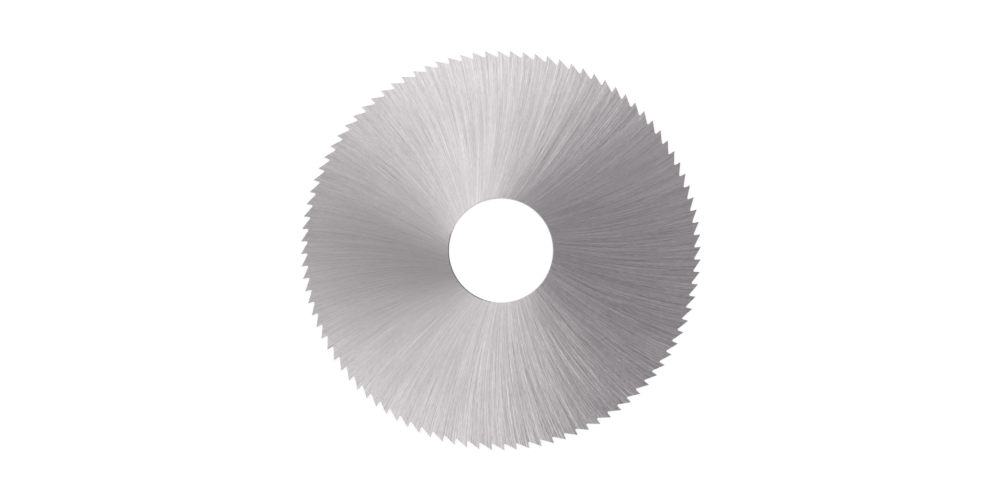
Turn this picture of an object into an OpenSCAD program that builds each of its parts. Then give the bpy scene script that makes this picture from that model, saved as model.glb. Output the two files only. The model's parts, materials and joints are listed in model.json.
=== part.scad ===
// Slitting saw: a thin, fine-toothed disc cutter that is clamped on an arbor through its plain bore.
// The disc lies on one side face. Z is the bore axis, and z = 0 is the plane that the rim rests on.
// Seen from above, the teeth cut counter-clockwise, and one tooth tip lies on the +X axis.

/* [Blade] */
// Diameter over the tooth tips
blade_d = 50; // [40:1:80]
// Width of cut, which is the thickness across the teeth
blade_w = 0.5; // [0.3:0.1:1.2]
// Width of the parallel rim, from the tooth tips inwards
rim_land = 2; // [1:0.1:6]
// Depth of the hollow grinding on each side, measured at the bore
dish_depth = 0.03; // [0.01:0.005:0.08]

/* [Bore] */
// Diameter of the arbor bore
bore_d = 13; // [8:0.5:27]
// Leg of the 45 degree chamfer on both edges of the bore
bore_chamfer = 0.08; // [0.02:0.01:0.15]

/* [Teeth] */
// Number of teeth
tooth_count = 100; // [64:4:128]
// Rake angle of the cutting faces, in degrees
rake_angle = 5; // [0:1:12]
// Slope of the tooth backs, in degrees from the tangent at the tip
back_angle = 31; // [24:1:38]
// Radius at the bottom of each gullet
gullet_r = 0.14; // [0.05:0.01:0.2]

/* [Hidden] */

// Ground high-speed steel
steel = [0.70, 0.68, 0.69];
// Turned faces, the bore and the gullet floors are true circles
$fn = 96;

tip_r = blade_d / 2;
bore_r = bore_d / 2;
pitch = 360 / tooth_count;
tip_spacing = 2 * tip_r * sin(pitch / 2);

// Inner edge of the parallel rim, where the hollow grinding starts
land_r = tip_r - rim_land;

// The blank is a little oversize, so that each tip is the meeting line of two ground flats
blank_r = tip_r + tip_spacing / 8;
// How far a gullet's flats run on past the tips, to leave the blank
overrun = tip_spacing / 2;
// The gullet arc is this much oversize, so that it crosses both flats instead of only touching them
arc_overlap = 0.0002;

// Depth of the hollow grinding at radius r
function dish_at(r) = dish_depth * (land_r - r) / (land_r - bore_r);

// Unit vector at an angle in the plane of the disc
function heading(angle) = [cos(angle), sin(angle)];

// One gullet, in the frame of the tooth behind it: the tip at [0, 0], X outwards, Y in the cutting direction.
// The cutting face of that tooth and the back of the tooth ahead are flats, joined by an arc.
ahead_tip = tip_r * [cos(pitch) - 1, sin(pitch)];
face_dir = heading(rake_angle);
back_dir = heading(90 - back_angle + pitch);
gullet_angle = 90 - back_angle + pitch - rake_angle;
corner = cross(ahead_tip, back_dir) / cross(face_dir, back_dir) * face_dir;
arc_leg = gullet_r / tan(gullet_angle / 2);
arc_centre = corner + gullet_r / sin(gullet_angle / 2) * heading(rake_angle + gullet_angle / 2);

// Section of the blank: parallel rim, sides dished towards the bore, chamfered bore edges
module blank_section() {
    edge_r = bore_r + bore_chamfer;
    edge_z = dish_at(edge_r);
    polygon([
        [blank_r, 0],
        [blank_r, blade_w],
        [land_r, blade_w],
        [edge_r, blade_w - edge_z],
        [bore_r, blade_w - edge_z - bore_chamfer],
        [bore_r, edge_z + bore_chamfer],
        [edge_r, edge_z],
        [land_r, 0]
    ]);
}

module blank() {
    rotate_extrude() blank_section();
}

module gullet_profile() {
    polygon([
        corner + arc_leg * face_dir,
        overrun * face_dir,
        ahead_tip + overrun * back_dir,
        corner + arc_leg * back_dir
    ]);
    translate(arc_centre) circle(r = gullet_r + arc_overlap);
}

// The gullets right round the rim, cut through from below one side to above the other
module gullets() {
    for (i = [0 : tooth_count - 1])
        rotate([0, 0, i * pitch])
            translate([tip_r, 0, -blade_w / 2])
                linear_extrude(height = 2 * blade_w) gullet_profile();
}

module saw_blade() {
    color(steel)
        difference() {
            blank();
            gullets();
        }
}

saw_blade();
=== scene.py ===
# %% [markdown]
# A slitting saw is a thin disc of high-speed steel with fine teeth ground into its own rim. It is one
# piece, so this lesson has one piece to model. The care goes into three things: crisp teeth, a finish
# that shows how the sides were ground, and the soft light that brings the grinding out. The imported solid
# comes first. It fixes the size and the place of everything that follows.

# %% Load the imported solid
import json
from math import cos, degrees, pi, radians, sin, tan

import bmesh
import bpy
from mathutils import Euler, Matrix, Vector


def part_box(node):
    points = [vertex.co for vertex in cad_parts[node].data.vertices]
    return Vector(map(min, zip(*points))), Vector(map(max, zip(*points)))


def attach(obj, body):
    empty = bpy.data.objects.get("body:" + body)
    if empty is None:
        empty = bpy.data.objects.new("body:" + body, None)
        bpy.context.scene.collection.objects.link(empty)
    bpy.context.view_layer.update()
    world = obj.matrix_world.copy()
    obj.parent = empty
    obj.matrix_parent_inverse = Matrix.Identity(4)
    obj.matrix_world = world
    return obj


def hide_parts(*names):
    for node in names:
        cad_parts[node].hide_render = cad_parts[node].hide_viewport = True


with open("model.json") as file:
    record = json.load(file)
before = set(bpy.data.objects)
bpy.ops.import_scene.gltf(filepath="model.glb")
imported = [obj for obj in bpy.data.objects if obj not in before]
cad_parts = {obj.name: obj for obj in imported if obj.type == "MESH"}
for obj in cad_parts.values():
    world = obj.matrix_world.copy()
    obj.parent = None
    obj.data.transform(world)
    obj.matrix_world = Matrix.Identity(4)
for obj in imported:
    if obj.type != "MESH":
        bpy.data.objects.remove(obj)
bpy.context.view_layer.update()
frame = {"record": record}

MM = 0.001
low_corner, high_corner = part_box("saw_blade")
mounts = {mount["name"]: mount for mount in frame["record"]["mounts"]}

tip_r = high_corner.x
blade_w = high_corner.z - low_corner.z
bore_r = mounts["bore"]["dims"]["r_mm"] * MM
print(f"blade {2 * tip_r / MM:.1f} mm across, {blade_w / MM:.2f} mm wide, bore {2 * bore_r / MM:.1f} mm")

# %% [markdown]
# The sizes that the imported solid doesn't name are set here, as on a maker's drawing. The rim is parallel
# for a short way in from the teeth. From there both sides are ground hollow towards the bore, so that the
# blade doesn't rub in its slot. The bore's edges are broken by a small chamfer.

# %% Sizes from the drawing
tooth_count = 100
rake_angle = radians(5)
back_angle = radians(31)
gullet_r = 0.14 * MM
rim_land = 2.0 * MM
dish_depth = 0.03 * MM
bore_chamfer = 0.08 * MM

pitch = 2 * pi / tooth_count
land_r = tip_r - rim_land
chamfer_r = bore_r + bore_chamfer
dish_at_chamfer = dish_depth * (land_r - chamfer_r) / (land_r - bore_r)
print(f"{tooth_count} teeth, {tip_r * pitch / MM:.2f} mm apart")

# %% [markdown]
# One tooth gap is a V with a round bottom: the cutting face of one tooth, an arc, and the back of the
# next. It could be cut from a disc with booleans, but a hundred of those are slow and leave ragged edges.
# Instead a few vertices draw one gap as a line, spin turns a vertex into the arc, and a second spin
# copies the line round the rim. The tips then meet, and merging them closes the outline.

# %% Outline of the teeth
arc_steps = 6
merge_gap = 0.0001 * MM


def heading(angle):
    return Vector((cos(angle), sin(angle), 0))


def crossing(a, b):
    """The third part of the cross product of two vectors that lie in the plane of the disc."""
    return a.x * b.y - a.y * b.x


def draw_tooth_gap(bm):
    """Draws the gap ahead of the tooth whose tip is on the X axis. Y is the cutting direction there."""
    tip = Vector((tip_r, 0, 0))
    ahead_tip = tip_r * heading(pitch)
    face_dir = heading(rake_angle)
    back_dir = heading(pi / 2 - back_angle + pitch)
    gap_angle = pi / 2 - back_angle + pitch - rake_angle
    corner = tip + crossing(ahead_tip - tip, back_dir) / crossing(face_dir, back_dir) * face_dir
    arc_centre = corner + gullet_r / sin(gap_angle / 2) * heading(rake_angle + gap_angle / 2)
    tip_vert = bm.verts.new(tip)
    arc_vert = bm.verts.new(corner + gullet_r / tan(gap_angle / 2) * face_dir)
    bm.edges.new((tip_vert, arc_vert))
    spun = bmesh.ops.spin(
        bm, geom=[arc_vert], cent=arc_centre, axis=(0, 0, 1), angle=gap_angle - pi, steps=arc_steps
    )
    arc_end = next(part for part in spun["geom_last"] if isinstance(part, bmesh.types.BMVert))
    bm.edges.new((arc_end, bm.verts.new(ahead_tip)))


bm = bmesh.new()
draw_tooth_gap(bm)
bmesh.ops.spin(
    bm, geom=bm.verts[:] + bm.edges[:], cent=(0, 0, 0), axis=(0, 0, 1),
    angle=2 * pi - pitch, steps=tooth_count - 1, use_duplicate=True,
)
bmesh.ops.remove_doubles(bm, verts=bm.verts, dist=merge_gap)
outline = bm.edges[:]
print(f"outline of {len(outline)} edges")

# %% [markdown]
# Only the upper half of the blade is modelled, with its middle plane at zero. The flat rim is a fill
# between the outline and a circle. The circle's edges are then extruded inwards three times: down the
# hollow side, down the chamfer and down the bore. The outline is extruded down to make the walls of the
# teeth. A mirror makes the lower half, which keeps both sides exactly alike.

# %% Upper half, then the mirror
def extrude_ring(bm, edges, radius_scale, drop):
    """Extrudes a closed ring of edges, scales it about the axis, lowers it, and returns the new edges."""
    made = bmesh.ops.extrude_edge_only(bm, edges=edges)["geom"]
    verts = [part for part in made if isinstance(part, bmesh.types.BMVert)]
    bmesh.ops.scale(bm, vec=(radius_scale, radius_scale, 1), verts=verts)
    bmesh.ops.translate(bm, vec=(0, 0, -drop), verts=verts)
    moved = set(verts)
    return [part for part in made if isinstance(part, bmesh.types.BMEdge) and moved.issuperset(part.verts)]


ring_steps = 400
half_w = blade_w / 2
land_verts = bmesh.ops.create_circle(bm, radius=land_r, segments=ring_steps)["verts"]
land_ring = list({edge for vert in land_verts for edge in vert.link_edges})
bmesh.ops.translate(bm, vec=(0, 0, half_w), verts=bm.verts)
bmesh.ops.triangle_fill(bm, edges=outline + land_ring, use_beauty=True)

extrude_ring(bm, outline, 1, half_w)
dish_ring = extrude_ring(bm, land_ring, chamfer_r / land_r, dish_at_chamfer)
bore_ring = extrude_ring(bm, dish_ring, bore_r / chamfer_r, bore_chamfer)
extrude_ring(bm, bore_ring, 1, half_w - dish_at_chamfer - bore_chamfer)

bmesh.ops.mirror(bm, geom=bm.verts[:] + bm.edges[:] + bm.faces[:], axis="Z", merge_dist=merge_gap)
bmesh.ops.remove_doubles(bm, verts=bm.verts, dist=merge_gap)
bmesh.ops.recalc_face_normals(bm, faces=bm.faces)
bmesh.ops.translate(bm, vec=(0, 0, low_corner.z + half_w), verts=bm.verts)
open_edges = sum(not edge.is_manifold for edge in bm.edges)
print(f"{len(bm.faces)} faces, {open_edges} open edges, {bm.calc_volume() / MM ** 3:.1f} cubic mm")

# %% [markdown]
# Curved walls are shaded smooth, and real corners stay sharp. From one face to the next the floor of a
# gap turns by about 20 degrees and a real corner by more, so an edge counts as a corner from 25 degrees
# on. Marking the corners by hand would have to be done again with each change of the teeth. Each face
# gets one of four finishes, by its slope and its distance from the axis.

# %% Corners and finishes
SIDE_FINISH, TOOTH_FINISH, BORE_FINISH, CHAMFER_FINISH = range(4)
corner_turn = radians(25)
slope_limit = radians(20)
side_flatness = cos(slope_limit)
wall_flatness = sin(slope_limit)
hub_r = 2 * bore_r


def finish_of(face):
    flatness = abs(face.normal.z)
    if flatness > side_flatness:
        return SIDE_FINISH
    if face.calc_center_median().xy.length > hub_r:
        return TOOTH_FINISH
    return CHAMFER_FINISH if flatness > wall_flatness else BORE_FINISH


for face in bm.faces:
    face.smooth = True
    face.material_index = finish_of(face)
for edge in bm.edges:
    edge.smooth = edge.calc_face_angle(0) < corner_turn

mesh = bpy.data.meshes.new("ground_saw_blade")
bm.to_mesh(mesh)
bm.free()
blade = bpy.data.objects.new("ground_saw_blade", mesh)
bpy.context.scene.collection.objects.link(blade)
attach(blade, "root")
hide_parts("saw_blade")
print(f"blade piece with {len(mesh.polygons)} faces")

# %% [markdown]
# A finish is a small network of shader nodes. Nodes can be drawn by hand in the editor, but a script is
# easier to change. This helper adds a node and links its inputs in one line, so that the cells below read
# as the steps of a sum. An input is either a plain value or another node's output.

# %% Nodes and links
class Network:
    """The node tree of a material or a world, with short ways to add to it."""

    def __init__(self, owner):
        owner.use_nodes = True
        self.owner = owner
        self.tree = owner.node_tree

    def put(self, socket, value):
        if isinstance(value, bpy.types.NodeSocket):
            self.tree.links.new(value, socket)
        else:
            socket.default_value = value

    def node(self, kind, inputs=(), **settings):
        made = self.tree.nodes.new(kind)
        for key, value in settings.items():
            setattr(made, key, value)
        for name, value in dict(inputs).items():
            self.put(made.inputs[name], value)
        return made

    def vector(self, operation, *values, out="Vector"):
        made = self.node("ShaderNodeVectorMath", operation=operation)
        slots = [socket for socket in made.inputs if socket.enabled]
        for socket, value in zip(slots, values):
            self.put(socket, value)
        return made.outputs[out]

    def number(self, operation, *values):
        made = self.node("ShaderNodeMath", operation=operation)
        for socket, value in zip(made.inputs, values):
            self.put(socket, value)
        return made.outputs[0]

    def split(self, vector):
        return self.node("ShaderNodeSeparateXYZ", {"Vector": vector}).outputs


# %% [markdown]
# Four things come back in the finishes: where the shaded point lies, which way the surface faces, a noise
# for scratches, and a soft step from one value to another. The last helper here fills in the shader that
# takes them all. Places come from Object coordinates, so each pattern stays on the steel when it moves.
# They are turned into millimetres, so the lengths in the finishes are in millimetres too.

# %% Places, scratches and soft steps
noise_detail = 2.0
noise_middle = (0.5, 0.5, 0.5)


def place_in_mm(net):
    return net.vector("SCALE", net.node("ShaderNodeTexCoord").outputs["Object"], 1 / MM)


def flat_place(net):
    """The place as a plan view shows it, in millimetres from the bore axis."""
    return net.vector("MULTIPLY", place_in_mm(net), (1, 1, 0))


def facing(net):
    return net.node("ShaderNodeNewGeometry").outputs["Normal"]


def scratches(net, vector, coarseness):
    """A vector of three unlike noises, each from about -0.5 to 0.5, that change with the given vector."""
    inputs = {"Vector": vector, "Scale": 1.0, "Detail": noise_detail, "Roughness": coarseness}
    noise = net.node("ShaderNodeTexNoise", inputs).outputs["Color"]
    return net.vector("SUBTRACT", noise, noise_middle)


def soft_step(net, value, start, end, low=0.0, high=1.0):
    """Goes from low to high while the value goes from start to end."""
    inputs = {"Value": value, "From Min": start, "From Max": end, "To Min": low, "To Max": high}
    return net.node("ShaderNodeMapRange", inputs, interpolation_type="SMOOTHSTEP").outputs[0]


def fill_shader(net, **values):
    shader = net.tree.nodes["Principled BSDF"]
    for name, value in values.items():
        net.put(shader.inputs[name.replace("_", " ")], value)
    print(f"{net.owner.name}: {len(net.tree.nodes)} nodes")
    return net.owner


# %% [markdown]
# The sides were ground by the rim of a large wheel while the blade turned slowly under it. Each grain of
# the wheel left an arc from the bore to the teeth, and all arcs have the same radius. A radial brush
# pattern would be simpler, but the lines in the photograph lean one way near the bore and the other way
# near the teeth, as arcs do. At one distance between, straight_r, they point straight outwards. So the
# network works out, for each point, the centre of the arc that passes through it. The direction to that
# centre tells one line from the next, and the way from the point to the centre lies across its line. The
# pattern sits a little off the bore axis, as if the chuck didn't hold the blade true.

# %% Grinding lines as arcs
arc_r = 66.0
straight_r = 17.9
chuck_offset = (-1.2, -0.17, 0)
arc_centre_r = (arc_r ** 2 + straight_r ** 2) ** 0.5


def grinding_lines(net):
    """The direction to the arc's centre, the radius in mm, and the ways across and along the line."""
    flat = net.vector("SUBTRACT", flat_place(net), chuck_offset)
    radius = net.vector("LENGTH", flat, out="Value")
    squares = net.number("MULTIPLY_ADD", radius, radius, straight_r ** 2)
    cosine = net.number("DIVIDE", squares, net.number("MULTIPLY", radius, 2 * arc_centre_r))
    to_centre = net.node(
        "ShaderNodeVectorRotate",
        {"Vector": net.vector("NORMALIZE", flat), "Angle": net.number("ARCCOSINE", cosine)},
        rotation_type="Z_AXIS",
    ).outputs["Vector"]
    centre = net.vector("SCALE", to_centre, arc_centre_r)
    across = net.vector("NORMALIZE", net.vector("SUBTRACT", centre, flat))
    along = net.vector("CROSS_PRODUCT", across, (0, 0, 1))
    return to_centre, radius, across, along


print(f"grinding arcs of {arc_r:.0f} mm radius, centred {arc_centre_r:.1f} mm from the bore axis")

# %% [markdown]
# In the photograph a thin dark line runs along the bore's edge on one side. Here it is painted shade, a
# dark band put into the colour of the steel. A mask on the direction from the axis says where it lies, a
# little noise makes its ends ragged, and both the chamfer and the very edge of the side next to it use
# that mask.

# %% Painted shade on the edge of the bore
painted_shade_angle = radians(205)
painted_shade_way = (cos(painted_shade_angle), sin(painted_shade_angle), 0)
painted_shade_start, painted_shade_end = 0.5, 0.8
painted_shade_ragged = 0.3
painted_shade_dark = 0.87
pit_density = (4, 4, 12)
pit_coarseness = 0.6


def painted_shade_and_pits(net):
    """How much painted shade there is, from 0 to 1, and two noises for wear and tone."""
    pits = scratches(net, net.vector("MULTIPLY", place_in_mm(net), pit_density), pit_coarseness)
    ragged, wear, tone = net.split(pits)
    outwards = net.vector("NORMALIZE", flat_place(net))
    toward = net.vector("DOT_PRODUCT", outwards, painted_shade_way, out="Value")
    toward = net.number("MULTIPLY_ADD", ragged, painted_shade_ragged, toward)
    return soft_step(net, toward, painted_shade_start, painted_shade_end), wear, tone


# scale is the mask of painted shade, and this darkens the shade under it.
def darkened(net, shade, scale):
    return net.number("MULTIPLY", shade, net.number("MULTIPLY_ADD", scale, -painted_shade_dark, 1.0))


# The print gives where the painted shade on the bore's edge is centred.
print(f"scale on the bore's edge, centred {degrees(painted_shade_angle):.0f} degrees round from the X axis")

# %% [markdown]
# Each grinding line is a groove. Drawing the grooves as geometry would take millions of faces, and an
# even anisotropic shader alone looks like satin. So a noise that changes fast from line to line, and
# slowly down the line, stands for the grooves. A second noise that changes faster down the line adds
# flecks, where a groove breaks off. The lines are finer than the picture can show, and blend in it as
# they do in the photograph.

# %% Noise that follows the lines
line_density = 230.0
line_coarseness = 0.85
line_run, fleck_run = 0.09, 1.3


def line_noise(net, to_centre, radius, run):
    """Scratches that follow the arcs. A larger run makes them shorter."""
    from_line_to_line = net.vector("SCALE", to_centre, line_density)
    down_the_line = net.node("ShaderNodeCombineXYZ", {"Z": net.number("MULTIPLY", radius, run)}).outputs[0]
    return scratches(net, net.vector("ADD", from_line_to_line, down_the_line), line_coarseness)


print(f"about {2 * pi * line_density:.0f} grinding lines round the blade")

# %% [markdown]
# The lines are made deeper on one side, along one diagonal and next to the bore. In the photograph the
# lines are strongest there. The depth scales the slopes of the grooves and also their painted tone, so the
# painted glints and groove shade are strongest there too. One depth for all lines would be simpler, but
# it would make the smooth left part as streaky as the rest. The depth is a sum of an even part, a part
# that follows the direction of the line, and a part that grows where the line runs along the diagonal.

# %% Depth of the lines
bite_even = 0.84
bite_side = (0.31, -0.15, 0)
bite_diagonal = 0.51
diagonal_angle = radians(-61)
diagonal_way = (cos(diagonal_angle), sin(diagonal_angle), 0)
hub_bite = 1.2
bite_end_r = 24.0


def wheel_bite(net, along, radius):
    """How deep the lines are at a point: more on one side, on one diagonal and towards the bore."""
    side = net.vector("DOT_PRODUCT", along, bite_side, out="Value")
    diagonal = net.vector("DOT_PRODUCT", along, diagonal_way, out="Value")
    diagonal_bite = net.number("MULTIPLY", net.number("MULTIPLY", diagonal, diagonal), bite_diagonal)
    bite = net.number("ADD", net.number("ADD", side, bite_even), diagonal_bite)
    hub = soft_step(net, radius, bore_r / MM, bite_end_r, low=hub_bite, high=1.0)
    return net.number("MULTIPLY", bite, hub)


print(f"lines deepest along the diagonal at {degrees(diagonal_angle):.0f} degrees")

# %% [markdown]
# Lines and flecks differ in tone. That tone is partly the steel's own and partly painted: it stands in
# for the glints of the grooves and the shade in them. The rim and the ring at the bore are painted a shade
# brighter than the rest, as painted sheen, and the very edge at the bore takes the mask of painted shade.
# All this could be painted on a picture, but a close view would show the picture's pixels. Sums of noises
# and soft steps stay sharp at any distance.

# %% Tone of the ground sides
line_tone, fleck_tone = 1.15, 0.62
rim_painted_sheen, hub_painted_sheen = 1.065, 1.045
rim_start_r, rim_end_r = 17.0, 24.0
hub_end_r = 10.0
edge_start_r = chamfer_r / MM
edge_w = 0.05


def side_shade(net, tone, fleck):
    """How bright the steel is at a point: lines and flecks, the painted sheen of the rim and hub, and the
    painted shade at the bore.
    """
    # The tone of lines and flecks is partly the steel's own and partly painted glints and groove shade.
    mottle = net.number("MULTIPLY_ADD", fleck, fleck_tone, net.number("MULTIPLY", tone, line_tone))
    axis_r = net.vector("LENGTH", flat_place(net), out="Value")
    # The rim and the ring at the bore are painted brighter, as painted sheen.
    rim = soft_step(net, axis_r, rim_start_r, rim_end_r, low=1.0, high=rim_painted_sheen)
    hub = soft_step(net, axis_r, bore_r / MM, hub_end_r, low=hub_painted_sheen, high=1.0)
    shade = net.number("MULTIPLY", net.number("ADD", mottle, 1.0), net.number("MULTIPLY", rim, hub))
    # The very edge next to the chamfer is darkened by the mask of painted shade.
    edge = soft_step(net, axis_r, edge_start_r, edge_start_r + edge_w, low=1.0, high=0.0)
    return darkened(net, shade, net.number("MULTIPLY", edge, painted_shade_and_pits(net)[0]))


print(f"rim {rim_painted_sheen:.3f} and hub {hub_painted_sheen:.3f} times as bright as the sides between them")

# %% [markdown]
# Light that falls on a groove spreads across it. Anisotropy does the same: its tangent lies across the
# lines, which makes the two bright fans in the photograph. The noise gives each groove a slight turn of
# its own and a wall that slopes across the line. Every groove also has a lip that leans outwards along
# the line, so the left and the right of the blade don't look alike. A bump node could tip the surface
# too, but it works from heights, and here the slopes themselves are at hand.

# %% Finish of the ground sides
line_sway = 1.35
groove_slope = 0.35
lip_lean = 0.055
side_steel = (0.562, 0.544, 0.542)
side_roughness = 0.432
side_anisotropy = 0.873


def ground_side_finish():
    net = Network(bpy.data.materials.new("ground_side"))
    to_centre, radius, across, along = grinding_lines(net)
    bite = wheel_bite(net, along, radius)
    lines = net.vector("SCALE", line_noise(net, to_centre, radius, line_run), bite)
    flecks = net.vector("SCALE", line_noise(net, to_centre, radius, fleck_run), bite)
    turn, slope, tone = net.split(lines)
    turned = net.vector("SCALE", along, net.number("MULTIPLY", turn, line_sway))
    lip = net.vector("SCALE", along, lip_lean)
    wall = net.vector("SCALE", across, net.number("MULTIPLY", slope, groove_slope))
    tipped = net.vector("ADD", net.vector("ADD", facing(net), lip), wall)
    shade = side_shade(net, tone, net.split(flecks)[0])
    return fill_shader(
        net,
        Base_Color=net.vector("SCALE", side_steel, shade),
        Metallic=1.0,
        Roughness=side_roughness,
        Anisotropic=side_anisotropy,
        Normal=net.vector("NORMALIZE", tipped),
        Tangent=net.vector("NORMALIZE", net.vector("ADD", across, turned)),
    )


mesh.materials.append(ground_side_finish())

# %% [markdown]
# The teeth were ground by a thin wheel that passed straight across the rim, so fine lines run from one
# side of the blade to the other on every cutting face, gullet and tooth back. The bore was ground by a
# small wheel while the blade turned, so its lines run round the wall. Both are the same recipe, a noise
# that is stretched along the lines, and only the stretch and the way across the lines differ. Half a
# millimetre of wall doesn't need more, but a wall without lines would look like paint in a close view.

# %% Finish of the teeth and the bore
lines_across, lines_along = 40.0, 1.5
wall_coarseness = 0.7
wall_groove_slope = 0.3
wall_tone = 0.8
wall_roughness, wall_wear = 0.35, 0.3
wall_anisotropy = 0.5
tooth_steel = (0.50, 0.48, 0.49)
bore_steel = (0.40, 0.38, 0.39)


def round_the_wall(net, normal):
    return net.vector("NORMALIZE", net.vector("CROSS_PRODUCT", normal, (0, 0, 1)))


def up_the_wall(net, normal):
    return net.vector("NORMALIZE", net.vector("CROSS_PRODUCT", round_the_wall(net, normal), normal))


def cut_wall_finish(name, line_counts, across_of, steel):
    """A wall with fine lines. line_counts is how fast the noise changes along X, Y and Z, per mm."""
    net = Network(bpy.data.materials.new(name))
    normal = facing(net)
    across = across_of(net, normal)
    lines = scratches(net, net.vector("MULTIPLY", place_in_mm(net), line_counts), wall_coarseness)
    wear, slope, tone = net.split(lines)
    wall = net.vector("SCALE", across, net.number("MULTIPLY", slope, wall_groove_slope))
    return fill_shader(
        net,
        Base_Color=net.vector("SCALE", steel, net.number("MULTIPLY_ADD", tone, wall_tone, 1.0)),
        Metallic=1.0,
        Roughness=net.number("MULTIPLY_ADD", wear, wall_wear, wall_roughness),
        Anisotropic=wall_anisotropy,
        Normal=net.vector("NORMALIZE", net.vector("ADD", normal, wall)),
        Tangent=across,
    )


tooth_lines = (lines_across, lines_across, lines_along)
bore_lines = (lines_along, lines_along, lines_across)
mesh.materials.append(cut_wall_finish("ground_teeth", tooth_lines, round_the_wall, tooth_steel))
mesh.materials.append(cut_wall_finish("ground_bore", bore_lines, up_the_wall, bore_steel))

# %% [markdown]
# The chamfer on the bore's edge was turned. Most of it is bright, and on one side it carries the painted
# shade of the bore's edge. An even bright ring would be simpler, but it would lose the thin dark line
# along the bore. So the turned steel gets small pits of tone and wear, and the mask of painted shade
# darkens it and makes it rougher.

# %% Finish of the chamfer
chamfer_steel = (0.86, 0.84, 0.84)
chamfer_tone = 0.3
chamfer_roughness, chamfer_wear = 0.3, 0.2
painted_shade_roughness = 0.25


def chamfer_finish():
    net = Network(bpy.data.materials.new("bore_chamfer"))
    # scale is the mask of painted shade; it darkens the chamfer and makes it rougher.
    scale, wear, tone = painted_shade_and_pits(net)
    shade = darkened(net, net.number("MULTIPLY_ADD", tone, chamfer_tone, 1.0), scale)
    dull = net.number("MULTIPLY_ADD", scale, painted_shade_roughness, chamfer_roughness)
    return fill_shader(
        net,
        Base_Color=net.vector("SCALE", chamfer_steel, shade),
        Metallic=1.0,
        Roughness=net.number("MULTIPLY_ADD", wear, chamfer_wear, dull),
    )


mesh.materials.append(chamfer_finish())

# %% [markdown]
# In the photograph the blade lies on pure white with no shadow, as on a light table. A plain white floor
# under bright lamps would also turn white, but the lamps would then burn out the blade. So the floor
# glows by itself. With the light of the lamps it is only just brighter than white, because more would eat
# into the thin tips of the teeth. It is wide enough to reach past the picture in low views.

# %% Floor
floor_size = 6.0
floor_glow = 0.9
floor_grey = 0.15
bm = bmesh.new()
bmesh.ops.create_grid(bm, x_segments=1, y_segments=1, size=floor_size / 2)
floor_mesh = bpy.data.meshes.new("light_table")
bm.to_mesh(floor_mesh)
bm.free()
floor = bpy.data.objects.new("light_table", floor_mesh)
bpy.context.scene.collection.objects.link(floor)
floor_mesh.materials.append(fill_shader(
    Network(bpy.data.materials.new("light_table")),
    Base_Color=(floor_grey, floor_grey, floor_grey, 1),
    Roughness=1.0,
    Specular_IOR_Level=0.0,
    Emission_Color=(1, 1, 1, 1),
    Emission_Strength=floor_glow,
))

# %% [markdown]
# Two soft boxes stand left and right of the blade, well out of the camera's way. Where the grinding lines
# run up or down the picture, highlights spread left and right, so those parts reflect the boxes and make
# bright fans. Where the lines run left or right, highlights spread up and down, and those parts reflect
# mostly the dim room. The key box on the left is the brighter one. Lamps with no size would be simpler,
# but they would draw hard streaks. A box's brightness is given as radiance, which is what a mirror would
# show, and the power that Blender wants follows from it and from the box's area.

# %% Soft boxes
def soft_box(name, azimuth, zenith, distance, width, height, radiance):
    """A rectangular light that faces the blade, from angles in degrees and lengths in metres."""
    way = Vector((0, 0, 1))
    way.rotate(Euler((0, radians(zenith), radians(azimuth))))
    light = bpy.data.lights.new(name, "AREA")
    light.shape = "RECTANGLE"
    light.size = width
    light.size_y = height
    light.energy = radiance * pi * width * height
    lamp = bpy.data.objects.new(name, light)
    lamp.location = distance * way
    lamp.rotation_euler = way.to_track_quat("Z", "Y").to_euler()
    lamp.visible_camera = False
    bpy.context.scene.collection.objects.link(lamp)
    print(f"{name}: {light.energy:.2f} W")


soft_box("key_box", azimuth=174.5, zenith=33.5, distance=0.772, width=0.63, height=0.519, radiance=2.9)
soft_box("fill_box", azimuth=6.15, zenith=59.0, distance=1.5, width=1.224, height=1.725, radiance=0.83)

# %% [markdown]
# The room is dim, a shade cooler than the boxes, and gets brighter towards one far corner. An even grey
# world would be simpler, but then the left and right parts of the blade would be flat, and in the
# photograph they aren't. The strength of the world is a sum: an even glow, plus a part that follows the
# direction of the ray. It never falls below a least value, because a room has no black corners.

# %% Room
room_glow = 0.39
room_lean = (0.9, 0.897, 0)
room_least = 0.12
room_white = (1.008, 0.972, 1.035, 1)
world = bpy.data.worlds.new("studio")
bpy.context.scene.world = world
net = Network(world)
ray_way = net.node("ShaderNodeTexCoord").outputs["Generated"]
lean = net.vector("DOT_PRODUCT", ray_way, room_lean, out="Value")
glow = net.number("MULTIPLY_ADD", lean, room_glow, room_glow)
background = net.tree.nodes["Background"]
net.put(background.inputs["Strength"], net.number("MAXIMUM", glow, room_least))
net.put(background.inputs["Color"], room_white)
print(f"room glow {room_glow}, strongest towards {room_lean}")

# %% [markdown]
# The photograph looks straight down the bore from well above, and the picture is 125 mm wide at the
# blade. The lens could be tried out by eye, but it follows from that width and the height of the camera.
# The blade in the photograph lies a hair off the centre of the picture, and one tooth tip is about one
# degree off the horizontal, so the camera is moved and turned by that. The standard view transform keeps
# the greys as they are computed.

# %% Camera
picture_w = 125 * MM
camera_height = 0.6
camera_shift = (-0.1125 * MM, 0.056 * MM)
camera_turn = radians(-1.03)
camera_data = bpy.data.cameras.new("camera")
camera = bpy.data.objects.new("camera", camera_data)
bpy.context.scene.collection.objects.link(camera)
camera.location = (*camera_shift, high_corner.z + camera_height)
camera.rotation_euler = (0, 0, camera_turn)
camera_data.lens = camera_data.sensor_width * camera_height / picture_w
bpy.context.scene.camera = camera
bpy.context.scene.view_settings.view_transform = "Standard"
print(f"lens of {camera_data.lens:.1f} mm")
